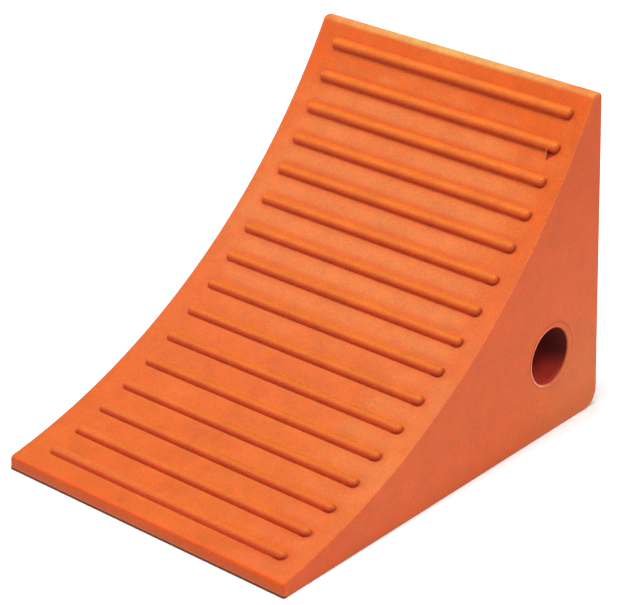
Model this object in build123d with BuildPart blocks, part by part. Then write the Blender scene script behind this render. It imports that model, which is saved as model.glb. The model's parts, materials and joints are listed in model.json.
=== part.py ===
from build123d import *
import math
import os

os.makedirs("parts", exist_ok=True)

# A solid moulded wheel chock for trucks and trailers, in millimetres.
# X runs across the wheel, Y from the thin toe (-Y) to the upright back (+Y), Z up.
# The origin is the middle of the base, on the ground.

# ---- overall sizes -------------------------------------------------------------
base_width = 285.0  # across the wheel, at the ground
base_length = 388.0  # toe to back, at the ground
height = 275.0  # ground to crown
toe_height = 12.0  # upright land at the thin end
crown_depth = 10.5  # top land, measured before its edges are rounded
tyre_radius = 527.0  # hollow of the tyre face, to suit a 1054 mm truck tyre

# The mould opens upwards, so the sides and the back lean in a little.
side_draft = 1.2  # degrees
back_draft = 1.4  # degrees

# ---- rounded edges -------------------------------------------------------------
crown_round = 5.0
toe_round = 3.5
heel_round = 15.0  # the lower back corner
side_edge_round = 1.2  # where the tyre face, crown and back meet the sides

# ---- grip ribs across the tyre face --------------------------------------------
rib_count = 16
rib_width = 9.5  # at the root
rib_height = 4.0
left_margin = 23.5  # from the -X edge of the base to the ribs' rounded ends
right_margin = 18.0  # from the +X edge: the ribs sit a little off the middle
crown_margin = 19.5  # along the face, from its top edge to the first rib
toe_margin = 23.5  # along the face, from its bottom edge to the last rib

# ---- cross hole for a rope or chain --------------------------------------------
hole_diameter = 48.0
hole_from_back = 67.0
hole_height = 69.0
hole_lip_round = 0.8

# The core pin that forms the hole sat in a round seat, which shows as a faint
# raised disc at each end, not quite centred on the hole.
seat_margin = 3.5  # how much larger its radius is than the hole's
seat_height = 0.4
seat_shift = 2.2  # towards the back

# ---- side view: the back line, the crown and the tyre face as an arc -------------
# The back and the ground would meet at heel_corner, if the heel weren't rounded.
heel_setback = heel_round * (math.tan(math.radians(45 + back_draft / 2)) - 1)
heel_corner = Vector(base_length / 2 + heel_setback, 0)
toe_top = Vector(-base_length / 2, toe_height)
back_top = heel_corner + Vector(-height * math.tan(math.radians(back_draft)), height)
crown_front = back_top - Vector(crown_depth, 0)
chord = crown_front - toe_top
rise = math.sqrt(tyre_radius**2 - (chord.length / 2) ** 2)
wheel_centre = (toe_top + crown_front) / 2 + chord.rotate(Axis.Z, 90).normalized() * rise


def face_angle(point):
    """Angle about the wheel's centre, from straight down towards the back."""
    return math.atan2(point.X - wheel_centre.X, wheel_centre.Y - point.Y)


# Each rib is a round bar with ball ends, sunk until only rib_height stands proud.
bar_radius = (rib_width**2 / 4 + rib_height**2) / (2 * rib_height)
bar_sink = bar_radius - rib_height
ball_spacing = base_width - left_margin - right_margin - rib_width
rib_shift = (left_margin - right_margin) / 2
bar_orbit = tyre_radius + bar_sink

top_rib_angle = face_angle(crown_front) - crown_margin / tyre_radius
bottom_rib_angle = face_angle(toe_top) + toe_margin / tyre_radius
rib_step = (top_rib_angle - bottom_rib_angle) / (rib_count - 1)
rib_places = []
for number in range(rib_count):
    angle = bottom_rib_angle + number * rib_step
    y = wheel_centre.X + bar_orbit * math.sin(angle)
    z = wheel_centre.Y - bar_orbit * math.cos(angle)
    rib_places.append(Location((rib_shift, y, z)))

with BuildPart() as rib_bar:
    Cylinder(bar_radius, ball_spacing, rotation=(0, 90, 0))
    with Locations((-ball_spacing / 2, 0, 0), (ball_spacing / 2, 0, 0)):
        Sphere(bar_radius)

# ---- chock_body: the whole chock is one moulding --------------------------------
side_lean = math.tan(math.radians(side_draft))
hole_y = base_length / 2 - hole_from_back
hole_end_x = base_width / 2 - hole_height * side_lean

with BuildPart() as chock_body:
    # Side view: flat base, upright back, narrow crown, hollow tyre face.
    with BuildSketch(Plane.YZ):
        with BuildLine():
            Polyline(
                (toe_top.X, toe_top.Y),
                (toe_top.X, 0),
                (heel_corner.X, heel_corner.Y),
                (back_top.X, back_top.Y),
                (crown_front.X, crown_front.Y),
            )
            CenterArc(
                (wheel_centre.X, wheel_centre.Y),
                tyre_radius,
                math.degrees(face_angle(toe_top)) - 90,
                math.degrees(face_angle(crown_front) - face_angle(toe_top)),
            )
        make_face()
        fillet(vertices().sort_by(Axis.Y)[-2:], crown_round)
        fillet(vertices().sort_by_distance((toe_top.X, toe_top.Y))[0], toe_round)
        fillet(vertices().sort_by_distance((heel_corner.X, heel_corner.Y))[0], heel_round)
    extrude(amount=base_width / 2, both=True)

    # End view: the sides lean in towards the crown.
    with BuildSketch(Plane.XZ):
        with BuildLine():
            Polyline(
                (-base_width / 2, 0),
                (base_width / 2, 0),
                (base_width / 2 - height * side_lean, height),
                (-base_width / 2 + height * side_lean, height),
                close=True,
            )
        make_face()
    extrude(amount=base_length, both=True, mode=Mode.INTERSECT)

    # Every outline edge of the two sides is eased, apart from those on the ground.
    sides = faces().filter_by(lambda face: abs(face.normal_at().X) > 0.9)
    fillet(sides.edges().filter_by(lambda edge: edge.center().Z > 0.01), side_edge_round)

    with Locations(*rib_places):
        add(rib_bar.part)

    # Core seats, square to each leaning side.
    for side in (-1, 1):
        seat_plane = Plane(
            origin=(side * hole_end_x, hole_y + seat_shift, hole_height),
            x_dir=(0, 1, 0),
            z_dir=(side, 0, side_lean),
        )
        with BuildSketch(seat_plane):
            Circle(hole_diameter / 2 + seat_margin)
        extrude(amount=seat_height)

    # The cross hole runs right through, with its two lips eased.
    with Locations(Location((0, hole_y, hole_height), (0, 90, 0))):
        Hole(hole_diameter / 2)
    hole_wall = faces(Select.LAST).filter_by(GeomType.CYLINDER)
    lips = hole_wall.edges().filter_by(GeomType.LINE, reverse=True)
    fillet(lips, hole_lip_round)

chock_body.part.label = "chock_body"
export_step(chock_body.part, "parts/chock_body.step")
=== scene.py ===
import json
import math

import bmesh
import bpy
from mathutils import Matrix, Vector
from mathutils.geometry import delaunay_2d_cdt


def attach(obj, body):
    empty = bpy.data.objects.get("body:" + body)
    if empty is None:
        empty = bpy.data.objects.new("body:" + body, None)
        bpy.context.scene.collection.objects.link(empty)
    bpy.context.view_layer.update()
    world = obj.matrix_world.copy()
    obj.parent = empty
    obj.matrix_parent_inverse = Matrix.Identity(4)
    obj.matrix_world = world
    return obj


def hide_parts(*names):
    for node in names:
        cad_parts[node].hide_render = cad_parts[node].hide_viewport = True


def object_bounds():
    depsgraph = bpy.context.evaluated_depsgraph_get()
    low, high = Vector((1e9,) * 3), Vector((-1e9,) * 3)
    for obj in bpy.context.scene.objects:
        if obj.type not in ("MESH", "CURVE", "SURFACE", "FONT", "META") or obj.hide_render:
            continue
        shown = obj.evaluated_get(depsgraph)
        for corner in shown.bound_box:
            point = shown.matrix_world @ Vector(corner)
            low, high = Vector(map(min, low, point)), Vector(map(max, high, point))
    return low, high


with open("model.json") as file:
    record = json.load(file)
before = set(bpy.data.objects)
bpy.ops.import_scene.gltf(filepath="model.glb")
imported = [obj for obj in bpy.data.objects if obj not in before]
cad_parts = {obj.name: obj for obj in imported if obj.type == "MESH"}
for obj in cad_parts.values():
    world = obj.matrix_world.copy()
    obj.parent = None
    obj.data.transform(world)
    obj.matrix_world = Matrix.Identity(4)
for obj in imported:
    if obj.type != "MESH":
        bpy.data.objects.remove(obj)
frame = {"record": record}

# A one-piece moulded wheel chock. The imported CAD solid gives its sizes; the mesh built here
# has the same shape, with the softer edges and small flaws of a real casting.

MM = 0.001
WELD = 0.005 * MM  # vertices closer than this are one
cad_low, cad_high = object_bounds()
mounts = {mount["name"]: mount for mount in frame["record"]["mounts"]}

# ---- sizes ----------------------------------------------------------------------
# The box and the mounts come from the frame. The rest are the CAD model's own values, apart
# from TOE_FOOT_ROUND, RIB_ROOT_ROUND and SEAT_FLANK: small roundings that only this mesh has.
SIDE_DRAFT = math.radians(1.2)
BACK_DRAFT = math.radians(1.4)
SIDE_LEAN = math.tan(SIDE_DRAFT)
BACK_LEAN = math.tan(BACK_DRAFT)
EDGE_ROUND = 1.2 * MM
TOE_FOOT_ROUND = 0.7 * MM
TOE_ROUND = 3.5 * MM
TOE_HEIGHT = 12.0 * MM
CROWN_ROUND = 5.0 * MM
HEEL_ROUND = 15.0 * MM
TYRE_RADIUS = 527.0 * MM

RIB_COUNT = 16
RIB_WIDTH = 9.5 * MM
RIB_HEIGHT = 4.0 * MM
RIB_ROOT_ROUND = 0.35 * MM
LEFT_MARGIN = 23.5 * MM
RIGHT_MARGIN = 18.0 * MM
CROWN_MARGIN = 19.5 * MM
TOE_MARGIN = 23.5 * MM

SEAT_MARGIN = 3.5 * MM
SEAT_HEIGHT = 0.4 * MM
SEAT_FLANK = 0.5 * MM
SEAT_SHIFT = 2.2 * MM
LIP_ROUND = 0.8 * MM

CROWN_Z = cad_high.z
TOE_Y = cad_low.y


def corner_setback(radius, draft):
    """How far a drafted wall's foot would reach past the wall's own rounded corner."""
    return radius * (math.tan(math.pi / 4 + draft / 2) - 1)


HALF_WIDTH = cad_high.x + corner_setback(EDGE_ROUND, SIDE_DRAFT)
HEEL_Y = cad_high.y + corner_setback(HEEL_ROUND, BACK_DRAFT)

hole = mounts["rope_hole"]
HOLE_RADIUS = hole["dims"]["r_mm"] * MM
HOLE_Y, HOLE_Z = hole["pos_m"][1:]
SEAT_Y = HOLE_Y + SEAT_SHIFT
SEAT_FOOT = HOLE_RADIUS + SEAT_MARGIN + SEAT_FLANK  # radius where the seat meets the side
face_mount = mounts["tyre_face"]
WHEEL = Vector(face_mount["pos_m"][1:]) + Vector(face_mount["axis"][1:]) * TYRE_RADIUS


def half_width(z):
    """Half the chock's width at a height: the sides lean in."""
    return HALF_WIDTH - z * SIDE_LEAN


def back_y(z):
    return HEEL_Y - z * BACK_LEAN


# ---- the side view as one closed outline ------------------------------------------
# Outward directions are angles from +Y towards +Z.
UP = math.pi / 2
FRONT = math.pi
DOWN = -math.pi / 2


def round_off(centre, radius, start, end, steps):
    """Points of an arc as (y, z, normal angle), from one outward direction to another."""
    points = []
    for step in range(steps + 1):
        angle = start + (end - start) * step / steps
        y = centre.x + radius * math.cos(angle)
        z = centre.y + radius * math.sin(angle)
        points.append((y, z, angle))
    return points


def straight(start, end, steps):
    """The points between two ends, which keep the first end's normal."""
    points = []
    for step in range(1, steps):
        share = step / steps
        points.append((
            start[0] + (end[0] - start[0]) * share,
            start[1] + (end[1] - start[1]) * share,
            start[2],
        ))
    return points


def tyre_tangent_z(y, radius):
    """Height of a rounding's centre at y, where it touches the tyre face from inside."""
    return WHEEL.y - math.sqrt((TYRE_RADIUS + radius) ** 2 - (y - WHEEL.x) ** 2)


toe_centre = Vector((TOE_Y + TOE_ROUND, tyre_tangent_z(TOE_Y + TOE_ROUND, TOE_ROUND)))
crown_centre_z = CROWN_Z - CROWN_ROUND
front_reach = math.sqrt((TYRE_RADIUS + CROWN_ROUND) ** 2 - (crown_centre_z - WHEEL.y) ** 2)
crown_front = Vector((WHEEL.x + front_reach, crown_centre_z))
crown_back = Vector((back_y(crown_centre_z) - CROWN_ROUND / math.cos(BACK_DRAFT), crown_centre_z))
heel_centre = Vector((back_y(HEEL_ROUND) - HEEL_ROUND / math.cos(BACK_DRAFT), HEEL_ROUND))
foot_centre = Vector((TOE_Y + TOE_FOOT_ROUND, TOE_FOOT_ROUND))


def face_angle(centre):
    """Angle round the wheel, from straight down towards the back, of a point on the face."""
    return math.atan2(centre.x - WHEEL.x, WHEEL.y - centre.y)


FACE_START = face_angle(toe_centre)
FACE_END = face_angle(crown_front)
FACE_STEPS = 134
FACE_LENGTH = TYRE_RADIUS * (FACE_END - FACE_START)


def on_face(along):
    """(y, z, normal angle) on the tyre face, along it from the toe's rounding."""
    angle = FACE_START + along / TYRE_RADIUS
    return (
        WHEEL.x + TYRE_RADIUS * math.sin(angle),
        WHEEL.y - TYRE_RADIUS * math.cos(angle),
        angle + UP,
    )


foot = round_off(foot_centre, TOE_FOOT_ROUND, DOWN + 2 * math.pi, FRONT, steps=3)
toe = round_off(toe_centre, TOE_ROUND, FRONT, FACE_START + UP, steps=7)
face = [on_face(FACE_LENGTH * step / FACE_STEPS) for step in range(FACE_STEPS + 1)]
front = round_off(crown_front, CROWN_ROUND, FACE_END + UP, UP, steps=7)
rear = round_off(crown_back, CROWN_ROUND, UP, BACK_DRAFT, steps=9)
heel = round_off(heel_centre, HEEL_ROUND, BACK_DRAFT, DOWN, steps=12)

before_face = foot + straight(foot[-1], toe[0], steps=4) + toe
after_face = front + straight(front[-1], rear[0], steps=2) + rear
after_face += straight(rear[-1], heel[0], steps=38) + heel
after_face += straight(heel[-1], foot[0], steps=52)
outline = before_face + face[1:-1] + after_face


FOOT_EDGE_ROUND = TOE_FOOT_ROUND * 0.8
EDGE_ROUND_GROWTH = 0.15  # added radius for each metre from the toe's foot


def edge_round(y, z):
    """The side edges' radius, which shrinks towards the toe's sharper foot."""
    from_foot = math.hypot(y - TOE_Y, z)
    return min(EDGE_ROUND, FOOT_EDGE_ROUND + from_foot * EDGE_ROUND_GROWTH)


def flat_half_width(y, z):
    """Half the width between the side edges' roundings, at a point of the outline."""
    return half_width(z) - edge_round(y, z)


# ---- a growing mesh ---------------------------------------------------------------
verts = []
faces = []


def add_vert(x, y, z):
    verts.append(Vector((x, y, z)))
    return len(verts) - 1


def add_grid(rows, closed=False):
    """Quads between neighbouring rows of vertex numbers."""
    for one, two in zip(rows, rows[1:]):
        count = len(one)
        for i in range(count if closed else count - 1):
            j = (i + 1) % count
            faces.append((one[i], one[j], two[j], two[i]))


EDGE_STEPS = 4
ACROSS_STEPS = 38


def edge_row(side, step):
    """One row of a side edge's rounding: 0 lies on the outline, EDGE_STEPS on the side."""
    turn = math.pi / 2 * step / EDGE_STEPS
    row = []
    for y, z, normal in outline:
        radius = edge_round(y, z)
        inset = radius * (1 - math.cos(turn))
        y_in = y - inset * math.cos(normal)
        z_in = z - inset * math.sin(normal)
        x = half_width(z_in) - radius * (1 - math.sin(turn))
        row.append(add_vert(side * x, y_in, z_in))
    return row


def across(point):
    """A row of vertices straight across the chock at one point of the outline."""
    y, z, _ = point
    reach = flat_half_width(y, z)
    return [add_vert(reach * (2 * i / ACROSS_STEPS - 1), y, z) for i in range(ACROSS_STEPS + 1)]


for side in (-1, 1):
    rows = [edge_row(side, step) for step in range(EDGE_STEPS + 1)]
    add_grid(rows, closed=True)

add_grid([across(point) for point in before_face])
add_grid([across(point) for point in after_face + before_face[:1]])

# ---- tyre face and ribs -------------------------------------------------------------
RIB_RADIUS = (RIB_WIDTH**2 / 4 + RIB_HEIGHT**2) / (2 * RIB_HEIGHT)
RIB_SINK = RIB_RADIUS - RIB_HEIGHT
ROOT_REACH = math.sqrt((RIB_RADIUS + RIB_ROOT_ROUND) ** 2 - (RIB_ROOT_ROUND + RIB_SINK) ** 2)
ROOT_ANGLE = math.atan2(ROOT_REACH, RIB_ROOT_ROUND + RIB_SINK)
CROWN_STEPS = 8
ROOT_STEPS = 2
CAP_STEPS = 14
APRON = (0.9 * MM, 2.2 * MM)  # rings of small faces on the tyre face round each rib


def rib_section():
    """(distance from the rib's middle line, height) from near the top down to the face."""
    points = []
    for step in range(1, CROWN_STEPS + 1):
        angle = ROOT_ANGLE * step / CROWN_STEPS
        points.append((RIB_RADIUS * math.sin(angle), RIB_RADIUS * math.cos(angle) - RIB_SINK))
    for step in range(1, ROOT_STEPS + 1):
        angle = ROOT_ANGLE * (1 - step / ROOT_STEPS)
        points.append((
            ROOT_REACH - RIB_ROOT_ROUND * math.sin(angle),
            RIB_ROOT_ROUND * (1 - math.cos(angle)),
        ))
    return points + [(ROOT_REACH + apron, 0.0) for apron in APRON]


def face_vert(along, x, height):
    y, z, normal = on_face(along)
    return add_vert(x, y + height * math.cos(normal), z + height * math.sin(normal))


def stadium(middle, xs, reach):
    """A loop round a rib's middle line, as (along, x)."""
    loop = [(middle + reach, x) for x in xs]
    for step in range(1, CAP_STEPS):
        turn = math.pi * step / CAP_STEPS
        loop.append((middle + reach * math.cos(turn), xs[-1] + reach * math.sin(turn)))
    loop += [(middle - reach, x) for x in reversed(xs)]
    for step in range(1, CAP_STEPS):
        turn = math.pi * step / CAP_STEPS
        loop.append((middle - reach * math.cos(turn), xs[0] - reach * math.sin(turn)))
    return loop


def add_rib(middle, xs):
    """A rib's skin; returns its foot as (along, x) points."""
    section = rib_section()
    core = [face_vert(middle, x, RIB_HEIGHT) for x in xs]
    inner = core + [core[-1]] * (CAP_STEPS - 1) + core[::-1] + [core[0]] * (CAP_STEPS - 1)
    loops = []
    for reach, height in section:
        loops.append([face_vert(along, x, height) for along, x in stadium(middle, xs, reach)])
    count = len(inner)
    for i in range(count):
        j = (i + 1) % count
        if inner[i] == inner[j]:
            faces.append((inner[i], loops[0][i], loops[0][j]))
        else:
            faces.append((inner[i], loops[0][i], loops[0][j], inner[j]))
    add_grid(loops, closed=True)
    return stadium(middle, xs, section[-1][0])


rib_left = -HALF_WIDTH + LEFT_MARGIN + RIB_WIDTH / 2
rib_right = HALF_WIDTH - RIGHT_MARGIN - RIB_WIDTH / 2
RIB_SPANS = 30
rib_xs = [rib_left + (rib_right - rib_left) * i / RIB_SPANS for i in range(RIB_SPANS + 1)]


def corner_along(y, z):
    """Where the face's arc would meet a corner, measured along the face."""
    return TYRE_RADIUS * (math.atan2(y - WHEEL.x, WHEEL.y - z) - FACE_START)


face_top_y = WHEEL.x + math.sqrt(TYRE_RADIUS**2 - (WHEEL.y - CROWN_Z) ** 2)
top_rib = corner_along(face_top_y, CROWN_Z) - CROWN_MARGIN
bottom_rib = corner_along(TOE_Y, TOE_HEIGHT) + TOE_MARGIN
rib_alongs = [
    bottom_rib + (top_rib - bottom_rib) * i / (RIB_COUNT - 1) for i in range(RIB_COUNT)
]
rib_feet = [add_rib(along, rib_xs) for along in rib_alongs]


def off_ribs(along, x):
    """How far a point of the tyre face is from the nearest rib's middle line."""
    off_end = max(rib_left - x, x - rib_right, 0)
    return min(math.hypot(along - middle, off_end) for middle in rib_alongs)


ROW_PITCH = 0.866  # of a triangular lattice, as a share of the spacing along its rows


def hex_points(low, high, pitch):
    """Points of an even triangular lattice that fills a rectangle."""
    rows = int((high[1] - low[1]) / (pitch * ROW_PITCH)) + 1
    columns = int((high[0] - low[0]) / pitch) + 1
    for row in range(rows):
        for column in range(columns):
            x = low[0] + (column + 0.5 * (row % 2)) * pitch
            y = low[1] + row * pitch * ROW_PITCH
            if x < high[0] and y < high[1]:
                yield x, y


def triangulate(loops, spare):
    """Joins the loops' points and the spare ones; returns the points and the triangles."""
    points = []
    edges = []
    for loop in loops:
        first = len(points)
        points += loop
        edges += [(first + i, first + (i + 1) % len(loop)) for i in range(len(loop))]
    points += spare
    flat = [Vector(p) for p in points]
    inside_only = 1
    tolerance = 1e-9
    joined = delaunay_2d_cdt(flat, edges, [], inside_only, tolerance)
    return [tuple(p) for p in joined[0]], joined[2]


FACE_PITCH = 6 * MM


def face_half_width(along):
    y, z, _ = on_face(along)
    return flat_half_width(y, z)


def add_tyre_face():
    """The skin between the ribs, laid out flat: along the face, and x stretched to one width."""
    wide = HALF_WIDTH
    border = [(0.0, wide * (2 * i / ACROSS_STEPS - 1)) for i in range(ACROSS_STEPS)]
    border += [(FACE_LENGTH * i / FACE_STEPS, wide) for i in range(FACE_STEPS)]
    border += [(FACE_LENGTH, wide * (1 - 2 * i / ACROSS_STEPS)) for i in range(ACROSS_STEPS)]
    border += [(FACE_LENGTH * (1 - i / FACE_STEPS), -wide) for i in range(FACE_STEPS)]
    feet = [[(along, x / face_half_width(along) * wide) for along, x in foot] for foot in rib_feet]
    foot_reach = ROOT_REACH + APRON[-1]
    clear = foot_reach + 0.35 * FACE_PITCH
    low = (0.5 * FACE_PITCH, 0.5 * FACE_PITCH - wide)
    high = (FACE_LENGTH - 0.4 * FACE_PITCH, wide - 0.4 * FACE_PITCH)
    spare = []
    for along, x in hex_points(low, high, FACE_PITCH):
        if off_ribs(along, x * face_half_width(along) / wide) > clear:
            spare.append((along, x))
    points, triangles = triangulate([border] + feet, spare)
    numbers = [face_vert(along, x / wide * face_half_width(along), 0) for along, x in points]
    for triangle in triangles:
        along = sum(points[i][0] for i in triangle) / 3
        x = sum(points[i][1] for i in triangle) / 3
        if off_ribs(along, x * face_half_width(along) / wide) > foot_reach * 0.995:
            faces.append(tuple(numbers[i] for i in triangle))


add_tyre_face()

# ---- a torn fin of moulding flash, left on the second rib from the crown ---------------
FIN_X = rib_right - 4.2 * MM
FIN_RIDGE = (  # (offset along the face, height), in mm
    (-1.6, 3.6), (-3.2, 4.9), (-4.6, 4.7), (-6.0, 3.8),
    (-7.4, 2.7), (-8.8, 1.5), (-10.2, 0.6), (-11.4, -0.1),
)
FIN_BASE = -0.4 * MM  # sunk below the face
FIN_SWAY = 0.35 * MM  # from side to side, as it goes down the face
FIN_SECTION = (  # (x in mm, share of the height) between its two sunk feet
    (-0.9, 0.5), (-0.45, 0.92), (0.0, 1.0), (0.35, 0.92), (0.6, 0.5),
)
FIN_FEET = (-1.3, 0.9)  # x in mm
SHADOW_WIDTH = 8.0 * MM  # the fin's painted shadow: along the rib, and down the face
SHADOW_DROP = 8.5 * MM
SHADOW_START = 4.2 * MM  # below the rib's middle line
TORN_RIB = rib_alongs[-2]


def add_fin(middle):
    """A thin upright blade, from the rib's lower flank down the face; ends in nothing."""
    rows = []
    for number, (offset, height) in enumerate(FIN_RIDGE):
        along = middle + offset * MM
        sway = FIN_SWAY * math.sin(number * 1.1)
        top = max(height * MM, FIN_BASE + 0.05 * MM)
        section = [(side, top * share) for side, share in FIN_SECTION]
        section = [(FIN_FEET[0], FIN_BASE)] + section + [(FIN_FEET[1], FIN_BASE)]
        rows.append([face_vert(along, FIN_X + sway + side * MM, up) for side, up in section])
    add_grid(rows, closed=True)
    faces.append(tuple(rows[0]))
    faces.append(tuple(reversed(rows[-1])))


add_fin(TORN_RIB)

# ---- sides, core seats and the cross hole --------------------------------------------
ROUND_STEPS = 96
LIP_STEPS = 4
BORE_STEPS = 24
SIDE_PITCH = 7 * MM


def circle(centre_y, radius):
    """(y, z) points of a circle at the hole's height."""
    points = []
    for step in range(ROUND_STEPS):
        turn = 2 * math.pi * step / ROUND_STEPS
        points.append((centre_y + radius * math.cos(turn), HOLE_Z + radius * math.sin(turn)))
    return points


def ring(side, centre_y, radius, height):
    """A ring of vertices round the hole, height proud of a leaning side."""
    return [add_vert(side * (half_width(z) + height), y, z) for y, z in circle(centre_y, radius)]


def inside(y, z, loop):
    """Whether a point is within a closed loop."""
    odd = False
    for (y1, z1), (y2, z2) in zip(loop, loop[1:] + loop[:1]):
        if (z1 > z) != (z2 > z) and y < y1 + (z - z1) / (z2 - z1) * (y2 - y1):
            odd = not odd
    return odd


def add_side(side):
    """A side's skin, its core seat and the hole's lip; returns the bore's end ring."""
    border = []
    for y, z, normal in outline:
        inset = edge_round(y, z)
        border.append((y - inset * math.cos(normal), z - inset * math.sin(normal)))
    spare = []
    near = border[::3]
    for y, z in hex_points((TOE_Y, 0), (HEEL_Y, CROWN_Z), SIDE_PITCH):
        if math.hypot(y - SEAT_Y, z - HOLE_Z) < SEAT_FOOT + 0.4 * SIDE_PITCH:
            continue
        off_border = min(math.hypot(y - v, z - w) for v, w in near)
        if inside(y, z, border) and off_border > 0.45 * SIDE_PITCH:
            spare.append((y, z))
    points, triangles = triangulate([border, circle(SEAT_Y, SEAT_FOOT)], spare)
    numbers = [add_vert(side * half_width(z), y, z) for y, z in points]
    for triangle in triangles:
        y = sum(points[i][0] for i in triangle) / 3
        z = sum(points[i][1] for i in triangle) / 3
        if math.hypot(y - SEAT_Y, z - HOLE_Z) > SEAT_FOOT * 0.9995:
            faces.append(tuple(numbers[i] for i in triangle))
    rows = [
        ring(side, SEAT_Y, SEAT_FOOT, 0),
        ring(side, SEAT_Y, SEAT_FOOT - SEAT_FLANK * 0.5, SEAT_HEIGHT * 0.6),
        ring(side, SEAT_Y, SEAT_FOOT - SEAT_FLANK, SEAT_HEIGHT),
    ]
    for step in range(LIP_STEPS + 1):
        turn = math.pi / 2 * step / LIP_STEPS
        radius = HOLE_RADIUS + LIP_ROUND * (1 - math.sin(turn))
        height = SEAT_HEIGHT - LIP_ROUND * (1 - math.cos(turn))
        rows.append(ring(side, HOLE_Y, radius, height))
    add_grid([row + row[:1] for row in rows])
    return rows[-1]


bore_ends = [add_side(side) for side in (-1, 1)]
bore = [bore_ends[0]]
for step in range(1, BORE_STEPS):
    share = step / BORE_STEPS
    row = []
    for a, b in zip(*bore_ends):
        middle = verts[a].lerp(verts[b], share)
        row.append(add_vert(*middle))
    bore.append(row)
bore.append(bore_ends[1])
add_grid([row + row[:1] for row in bore])

# ---- the finished body ----------------------------------------------------------------
mesh = bpy.data.meshes.new("chock")
mesh.from_pydata(verts, [], faces)
bm = bmesh.new()
bm.from_mesh(mesh)
bmesh.ops.remove_doubles(bm, verts=bm.verts, dist=WELD)
bmesh.ops.recalc_face_normals(bm, faces=bm.faces)
bm.to_mesh(mesh)
bm.free()
mesh.polygons.foreach_set("use_smooth", [True] * len(mesh.polygons))
chock = bpy.data.objects.new("chock", mesh)
bpy.context.scene.collection.objects.link(chock)
weighted = chock.modifiers.new("weighted_normals", "WEIGHTED_NORMAL")
weighted.keep_sharp = True
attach(chock, "root")
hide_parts("chock_body")


# ---- the material -----------------------------------------------------------------------
class Field:
    """A number that varies over the surface: a node's output, with arithmetic."""

    def __init__(self, socket):
        self.socket = socket
        self.tree = socket.id_data

    def calc(self, operation, *others):
        node = self.tree.nodes.new("ShaderNodeMath")
        node.operation = operation
        for entry, value in zip(node.inputs, (self, *others)):
            plug(entry, value)
        return Field(node.outputs[0])

    def __add__(self, other):
        return self.calc("ADD", other)

    def __sub__(self, other):
        return self.calc("SUBTRACT", other)

    def __mul__(self, other):
        return self.calc("MULTIPLY", other)

    def __neg__(self):
        return self.calc("MULTIPLY", -1.0)

    def __rsub__(self, other):
        return -self + other

    def rise(self, low, high):
        """0 below low, 1 above high, smooth between."""
        node = self.tree.nodes.new("ShaderNodeMapRange")
        node.interpolation_type = "SMOOTHSTEP"
        plug(node.inputs["Value"], self)
        node.inputs["From Min"].default_value = low
        node.inputs["From Max"].default_value = high
        return Field(node.outputs["Result"])

    def fall(self, low, high):
        return 1.0 - self.rise(low, high)


def plug(entry, value):
    """Sets a node's input to a number or colour, or links a field to it."""
    if isinstance(value, Field):
        value.tree.links.new(value.socket, entry)
    else:
        entry.default_value = value


def grain(place, scale, detail=4.0, roughness=0.5, distortion=0.0):
    """Fractal noise, about 0.5 in the mean; scale is features per metre."""
    node = place.tree.nodes.new("ShaderNodeTexNoise")
    plug(node.inputs["Vector"], place)
    node.inputs["Scale"].default_value = scale
    node.inputs["Detail"].default_value = detail
    node.inputs["Roughness"].default_value = roughness
    node.inputs["Distortion"].default_value = distortion
    return Field(node.outputs["Fac"])


def pits(place, scale, size):
    """Scattered round spots: 1 at a spot's middle, 0 away from it."""
    node = place.tree.nodes.new("ShaderNodeTexVoronoi")
    plug(node.inputs["Vector"], place)
    node.inputs["Scale"].default_value = scale
    return Field(node.outputs["Distance"]).fall(0.0, size)


def blend(share, one, two):
    """A colour between two others."""
    tree = share.tree
    node = tree.nodes.new("ShaderNodeMix")
    node.data_type = "RGBA"
    plug(node.inputs[0], share)
    plug(node.inputs[6], one)
    plug(node.inputs[7], two)
    return Field(node.outputs[2])


def scaled(colour, share):
    """A colour made lighter or darker by a field."""
    node = share.tree.nodes.new("ShaderNodeVectorMath")
    node.operation = "SCALE"
    plug(node.inputs[0], colour)
    plug(node.inputs["Scale"], share)
    return Field(node.outputs[0])


def bumped(height, distance, strength, under=None):
    node = height.tree.nodes.new("ShaderNodeBump")
    plug(node.inputs["Height"], height)
    node.inputs["Distance"].default_value = distance
    node.inputs["Strength"].default_value = strength
    if under:
        plug(node.inputs["Normal"], under)
    return Field(node.outputs["Normal"])


# Colours in linear light.
ORANGE = (0.485, 0.090, 0.0085, 1)
REDDER = (0.475, 0.080, 0.0090, 1)
SIDE_LOW = (0.515, 0.072, 0.0088, 1)
SIDE_HIGH = (0.480, 0.057, 0.0010, 1)
RICHER = (0.480, 0.070, 0.0030, 1)
TOE_CORNER = (0.470, 0.050, 0.0040, 1)
# dust, with a painted sheen where it blooms on the tyre face
DUST_AND_SHEEN = (0.495, 0.130, 0.0300, 1)
# a painted highlight: the ribs yellower, as their lit tops look
RIB_HIGHLIGHT = (0.455, 0.102, 0.0065, 1)
# painted shade on the ribs' lower flanks
SHADE_RED = (0.530, 0.040, 0.0105, 1)
# painted shade on the toe's front land
TOE_SHADE = (0.570, 0.068, 0.0022, 1)
# a painted highlight on the upper edges and on the fin's ridge
HIGHLIGHT_TINT = (0.620, 0.160, 0.0550, 1)
# a painted highlight along the crown and in a line above the toe's foot
PAINTED_HIGHLIGHT = (0.440, 0.235, 0.0600, 1)
# dark pores and the dark line round the seat; painted shade in the creases, on the ribs' right ends,
# along the back edge and beside the fin
GRIME_AND_SHADE = (0.250, 0.010, 0.0045, 1)
# painted shade in the bore, and a painted contact shadow along the ground
SHADOW_DARK = (0.100, 0.014, 0.0160, 1)
# painted light on the bore's lower wall
LIT_BORE = (0.560, 0.045, 0.0320, 1)
# a painted highlight on the hole's lip
LIP_HIGHLIGHT = (0.800, 0.340, 0.2000, 1)

ROUGHNESS = 0.55
SPECULAR = 0.2


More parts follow.
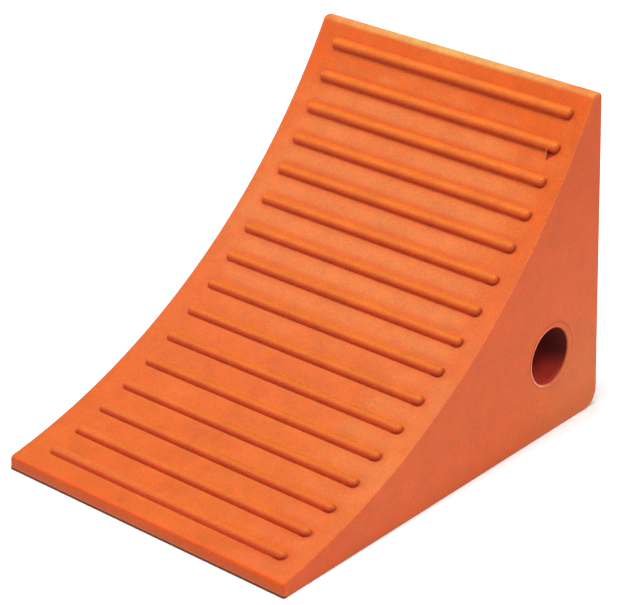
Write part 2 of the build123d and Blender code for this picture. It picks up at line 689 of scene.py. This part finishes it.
def face_place(y, z):
    """How deep a point lies under the tyre face, and how far along the face it is."""
    from_wheel_y = y - WHEEL.x
    under_wheel = WHEEL.y - z
    from_axle = (from_wheel_y * from_wheel_y + under_wheel * under_wheel).calc("SQRT")
    along = (from_wheel_y.calc("ARCTAN2", under_wheel) - FACE_START) * TYRE_RADIUS
    return from_axle - TYRE_RADIUS, along


def near_rib(x, along):
    """How far a point is outside the nearest rib's outline, up-slope of its middle line, and
    to the right of the ribs' straight part."""
    pitch = rib_alongs[1] - rib_alongs[0]
    turns = (along - rib_alongs[0]) * (1 / pitch)
    nearest = turns.calc("ROUND").calc("MAXIMUM", 0.0).calc("MINIMUM", RIB_COUNT - 1.0)
    offset = (turns - nearest) * pitch
    off_right = x - rib_right
    off_end = off_right.calc("MAXIMUM", rib_left - x).calc("MAXIMUM", 0.0)
    away = (offset * offset + off_end * off_end).calc("SQRT") - RIB_WIDTH / 2
    return away, offset, off_right


def hole_marks(y, z, under_side, on_side):
    """The bore's painted shade, its low part (painted light on the lower wall), the dark line round
    the core seat, and the painted highlight on the front lip.
    """
    hole_y = y - HOLE_Y
    hole_z = z - HOLE_Z
    from_hole = (hole_y * hole_y + hole_z * hole_z).calc("SQRT")
    in_bore = from_hole.fall(HOLE_RADIUS, HOLE_RADIUS + 0.5 * MM)
    in_bore = in_bore * under_side.rise(0.2 * MM, 1.5 * MM)
    low_bore = hole_z.fall(-24 * MM, -4 * MM)
    seat_y = y - SEAT_Y
    from_seat = (seat_y * seat_y + hole_z * hole_z).calc("SQRT")
    off_seat = (from_seat - SEAT_FOOT).calc("ABSOLUTE")
    seat_line = off_seat.fall(0.3 * MM, 1.0 * MM) * on_side
    seat_line = seat_line * (seat_y.rise(-12 * MM, 20 * MM) * 0.6 + 0.3)
    off_lip = (from_hole - (HOLE_RADIUS + LIP_ROUND / 2)).calc("ABSOLUTE")
    # painted highlight on the hole's front lip
    lip_highlight = off_lip.fall(0.5 * MM, 1.3 * MM) * under_side.fall(0.3 * MM, 1.0 * MM)
    lip_highlight = lip_highlight * hole_y.fall(-14 * MM, 4 * MM)
    return in_bore, low_bore, seat_line, lip_highlight


def fin_marks(x, along):
    """The painted shadow beside the fin, and a painted highlight along the fin's torn ridge."""
    shadow_x = x - FIN_X
    shadow_down = -along + (TORN_RIB - SHADOW_START)
    share = shadow_x * (1 / SHADOW_WIDTH) + shadow_down * (1 / SHADOW_DROP)
    # painted shadow of the fin, a triangle to its right
    fin_shadow = shadow_x.rise(0.2 * MM, 0.7 * MM) * shadow_down.rise(-0.4 * MM, 0.4 * MM)
    fin_shadow = fin_shadow * share.fall(0.8, 1.05)
    # painted highlight along the fin's ridge
    ridge_highlight = (shadow_x + 0.2 * MM).calc("ABSOLUTE").fall(0.5 * MM, 1.0 * MM)
    ridge_highlight = ridge_highlight * shadow_down.rise(-2.0 * MM, -0.5 * MM) * shadow_down.fall(5.0 * MM, 7.0 * MM)
    return fin_shadow, ridge_highlight


def dust_and_sheen(place, x, along):
    """A cloudy bloom, part dust and part painted sheen: thicker where the wheel bears and low down
    towards +X, where it stands for painted reflections of the lamps and the floor.
    """
    bearing = along.rise(170 * MM, 270 * MM) * along.fall(390 * MM, 460 * MM)
    bearing = bearing * (x + 10 * MM).calc("ABSOLUTE").fall(70 * MM, 160 * MM)
    low_right = x.rise(50 * MM, 100 * MM) * along.fall(160 * MM, 300 * MM)
    bloom_and_sheen = grain(place, 22.0, 4.0, 0.6, 0.5) * 0.9 + bearing * 0.5 + low_right * 0.3
    return bloom_and_sheen.rise(0.45, 0.95)


def urethane():
    """Orange cast polyurethane: satin, faintly mottled, with dust and painted sheen on the flats,
    painted shade in the creases and on the ribs' lower sides, and painted highlights on the edges.
    """
    material = bpy.data.materials.new("urethane")
    material.use_nodes = True
    tree = material.node_tree
    shader = tree.nodes["Principled BSDF"]
    place = Field(tree.nodes.new("ShaderNodeTexCoord").outputs["Object"])
    split = tree.nodes.new("ShaderNodeSeparateXYZ")
    plug(split.inputs[0], place)
    x, y, z = (Field(output) for output in split.outputs)

    # How deep a point lies under each of the body's outer surfaces.
    under_face, along = face_place(y, z)
    under_side = HALF_WIDTH - z * SIDE_LEAN - x.calc("ABSOLUTE")
    under_crown = CROWN_Z - z
    under_back = HEEL_Y - z * BACK_LEAN - y
    under_toe = y - TOE_Y
    around = under_face.calc("MINIMUM", under_crown).calc("MINIMUM", under_back)
    around = around.calc("MINIMUM", under_toe).calc("MINIMUM", z)

    # The tyre face and its ribs, with painted shade on the ribs' lower flanks, on their right ends
    # and in the creases below and to the right of them.
    away, offset, off_right = near_rib(x, along)
    on_face = under_face.fall(0.2 * MM, 0.8 * MM) * under_side.rise(0.5 * MM, 2.0 * MM)
    on_rib = under_face.fall(-2.5 * MM, -0.4 * MM)
    # painted shade on the ribs' lower flanks
    flank = on_rib * offset.fall(-4.5 * MM, 0.5 * MM)
    # painted shade on the ribs' right ends
    rib_end_shade = on_rib * off_right.rise(1.0 * MM, 4.7 * MM)
    shaded = (off_right * 1.1 - offset).rise(-2.0 * MM, 3.0 * MM)
    # painted shade in the creases below and right of the ribs
    crease_shade = away.calc("ABSOLUTE").fall(0.0, 1.3 * MM) * on_face * shaded

    # The other surfaces: painted highlights on the edges, painted shade along the back edge, a
    # painted contact shadow along the ground, the hole and the torn fin.
    edge = under_side.calc("MAXIMUM", around).fall(0.2 * MM, 1.6 * MM)
    # patchy painted highlight along the edges, above the foot
    edge_highlight = edge * grain(place, 300.0, 3.0).rise(0.2, 0.5) * z.rise(15 * MM, 50 * MM)
    # painted shade along the back edge
    back_edge_shade = under_back.fall(0.3 * MM, 1.5 * MM)
    on_crown = under_crown.fall(0.5 * MM, 4.0 * MM) * under_back.rise(0.3 * MM, 2.5 * MM)
    # reaches up the toe's rounding, so the toe's painted shade starts above the land
    on_toe = under_toe.fall(1.5 * MM, 4.5 * MM)
    # painted contact shadow along the ground, taller at the toe
    contact_shadow = (z - on_toe * (1.4 * MM)).fall(0.5 * MM, 1.2 * MM)
    # painted highlight line just above the toe's foot
    toe_foot_highlight = z.rise(2.0 * MM, 2.5 * MM) * z.fall(2.8 * MM, 3.6 * MM) * on_toe
    on_side = under_side.fall(0.1 * MM, 0.6 * MM)
    low_back = on_side * z.fall(20 * MM, 120 * MM) * y.rise(60 * MM, 180 * MM)
    toe_corner = along.fall(50 * MM, 130 * MM) * x.rise(50 * MM, 110 * MM)
    in_bore, low_bore, seat_line, lip_highlight = hole_marks(y, z, under_side, on_side)
    fin_shadow, ridge_highlight = fin_marks(x, along)

    # Slow drifts of tone, cloudy mottling, fine speckle, pores, a bloom of dust and painted sheen, a
    # painted highlight along the crown.
    drift = grain(place, 9.0, 2.0).rise(0.3, 0.7)
    cloud = grain(place, 55.0, 6.0, 0.6, 0.3)
    speckle = grain(place, 800.0, 3.0, 0.6)
    pores = pits(place, 260.0, 0.10)
    # dust and painted sheen on the face between the ribs
    bloom_and_sheen = dust_and_sheen(place, x, along) * on_face * (1.0 - on_rib) * away.rise(0.5 * MM, 7.0 * MM)
    # painted highlight along the crown, strongest in the middle
    crown_highlight = x.calc("ABSOLUTE").fall(40 * MM, 140 * MM) * 0.4 + cloud * 1.2 - 0.2

    coats = (  # how much of each colour is laid on, in order
        (z.rise(90 * MM, 250 * MM), RICHER),
        (on_side * 0.8, blend(z.rise(110 * MM, 220 * MM), SIDE_LOW, SIDE_HIGH)),
        # lighter low down at the back of the sides
        (low_back * 0.5, DUST_AND_SHEEN),
        # dust and painted sheen on the tyre face
        (bloom_and_sheen * 0.8, DUST_AND_SHEEN),
        (toe_corner * 0.35, TOE_CORNER),
        # painted highlight over the ribs
        (on_rib * 0.8, RIB_HIGHLIGHT),
        # painted shade on the ribs' lower flanks
        (flank, SHADE_RED),
        # painted shade on the toe's front land and rounding
        (on_toe * 0.8, TOE_SHADE),
        # painted highlight along the crown
        (on_crown * crown_highlight, PAINTED_HIGHLIGHT),
        # patchy painted highlight along the edges
        (edge_highlight * 0.45, HIGHLIGHT_TINT),
        # painted highlight line above the toe's foot
        (toe_foot_highlight * 0.5, PAINTED_HIGHLIGHT),
        # painted highlight on the fin's ridge
        (ridge_highlight * on_face * 0.9, HIGHLIGHT_TINT),
        # painted shade on the ribs' right ends
        (rib_end_shade * 0.45, GRIME_AND_SHADE),
        # painted shade in the creases below the ribs
        (crease_shade * 0.7, GRIME_AND_SHADE),
        # the fin's painted shadow
        (fin_shadow * on_face * 0.8, GRIME_AND_SHADE),
        # painted shade along the back edge
        (back_edge_shade * 0.5, GRIME_AND_SHADE),
        (seat_line * 0.6, GRIME_AND_SHADE),
        # painted highlight on the hole's front lip
        (lip_highlight * 0.65, LIP_HIGHLIGHT),
        # painted shade in the bore, with painted light on its lower wall
        (in_bore * 0.95, blend(low_bore, SHADOW_DARK, LIT_BORE)),
        # painted contact shadow along the ground
        (contact_shadow * 0.9, SHADOW_DARK),
    )
    colour = blend(drift, REDDER, ORANGE)
    for share, coat in coats:
        colour = blend(share, colour, coat)
    colour = scaled(colour, cloud * 0.42 + speckle.rise(0.3, 0.7) * 0.26 + 0.66)
    plug(shader.inputs["Base Color"], blend(pores * 0.35, colour, GRIME_AND_SHADE))

    shine = cloud * 0.12 + speckle * 0.08 + (ROUGHNESS - 0.10)
    plug(shader.inputs["Roughness"], shine - on_rib * 0.05 + bloom_and_sheen * 0.08)
    shader.inputs["Specular IOR Level"].default_value = SPECULAR
    slow = bumped(grain(place, 40.0, 2.0), 0.6 * MM, 0.5)
    fine = bumped(grain(place, 900.0, 4.0, 0.6), 0.12 * MM, 0.5, slow)
    plug(shader.inputs["Normal"], bumped(-pores, 0.15 * MM, 0.5, fine))
    return material


mesh.materials.append(urethane())

# ---- camera ---------------------------------------------------------------------
AZIMUTH = math.radians(40.727)  # from straight in front of the toe, round towards +X
ELEVATION = math.radians(26.503)
DISTANCE = 1.9921
AIM = Vector((0.0030, 0.0, 0.1198))
LENS = 146.689  # millimetres
SENSOR = 36.0  # millimetres across

data = bpy.data.cameras.new("camera")
data.lens = LENS
data.sensor_width = SENSOR
camera = bpy.data.objects.new("camera", data)
bpy.context.scene.collection.objects.link(camera)


def outward(azimuth, elevation):
    """The direction to something at an azimuth and elevation, seen from the chock."""
    return Vector((
        math.sin(azimuth) * math.cos(elevation),
        -math.cos(azimuth) * math.cos(elevation),
        math.sin(elevation),
    ))


away = outward(AZIMUTH, ELEVATION)
camera.location = AIM + away * DISTANCE
camera.rotation_euler = away.to_track_quat("Z", "Y").to_euler()
bpy.context.scene.camera = camera

# ---- floor and light ------------------------------------------------------------
FLOOR_SIZE = 12.0
LIGHT_SIZE = 0.8
LIGHTS = (  # name, azimuth and elevation in degrees, distance, brightness
    ("overhead", 0, 88, 1.9, 1.19),
    ("left", 284, 30, 2.6, 0.44),
    ("rim", 135, 14, 2.6, 0.41),
    ("right", 90, 62, 2.6, 0.30),
    ("rim_left", 225, 14, 2.6, 0.09),
    ("front", 0, 62, 2.6, 0.07),
    ("front_left", 315, 62, 2.6, 0.12),
    ("right_low", 60, 25, 2.6, 0.15),
)
WORLD_BRIGHTNESS = 0.05

bpy.ops.mesh.primitive_plane_add(size=FLOOR_SIZE)
floor = bpy.context.object
floor.name = "floor"
paper = bpy.data.materials.new("paper")
paper.use_nodes = True
paper_shader = paper.node_tree.nodes["Principled BSDF"]
paper_shader.inputs["Base Color"].default_value = (0.9, 0.9, 0.9, 1)
paper_shader.inputs["Roughness"].default_value = 0.9
floor.data.materials.append(paper)


def softbox(name, azimuth, elevation, distance, brightness):
    """A round soft light; brightness 1 makes a white sheet that faces it just white."""
    light = bpy.data.lights.new(name, "AREA")
    light.shape = "DISK"
    light.size = LIGHT_SIZE
    light.energy = brightness * math.pi**2 * distance**2
    toward = outward(math.radians(azimuth), math.radians(elevation))
    box = bpy.data.objects.new(name, light)
    box.location = AIM + toward * distance
    box.rotation_euler = toward.to_track_quat("Z", "Y").to_euler()
    bpy.context.scene.collection.objects.link(box)


for values in LIGHTS:
    softbox(*values)

world = bpy.data.worlds.new("studio")
world.use_nodes = True
background = world.node_tree.nodes["Background"]
background.inputs["Color"].default_value = (1, 1, 1, 1)
background.inputs["Strength"].default_value = WORLD_BRIGHTNESS
bpy.context.scene.world = world
bpy.context.scene.view_settings.view_transform = "Standard"
